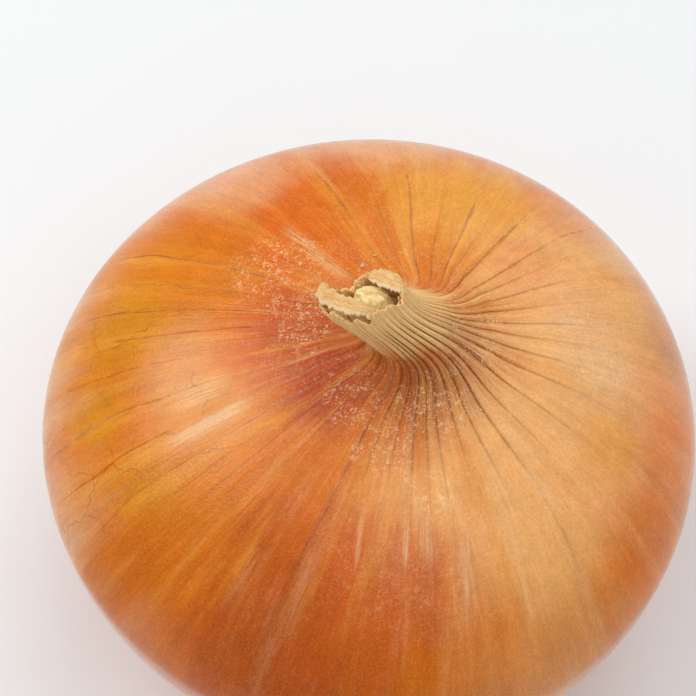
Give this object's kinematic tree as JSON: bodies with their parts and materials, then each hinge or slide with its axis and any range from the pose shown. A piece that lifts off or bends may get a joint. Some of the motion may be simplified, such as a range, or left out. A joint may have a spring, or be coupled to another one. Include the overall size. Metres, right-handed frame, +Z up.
{
  "type": "onion",
  "caption": "Whole yellow onion: a squat ribbed bulb standing on its root plate, with a short leaning neck of dry skin torn open at the top.",
  "frame": {"origin": "on the surface that the onion stands on, below the middle of its outline", "axes": "+Z up, out of the neck's side; +X towards the side that the neck leans away from; +Y away from the picture's view"},
  "size_m": [0.0902, 0.0898, 0.0772],
  "materials": {
    "skin": "dry, thin onion skin with a satin shine",
    "inner_leaf": "matte, dried",
    "root": "matte, dried"
  },
  "bodies": {
    "root": {"bulb": "skin", "neck_core": "inner_leaf", "root_tuft": "root"}
  },
  "joints": []
}
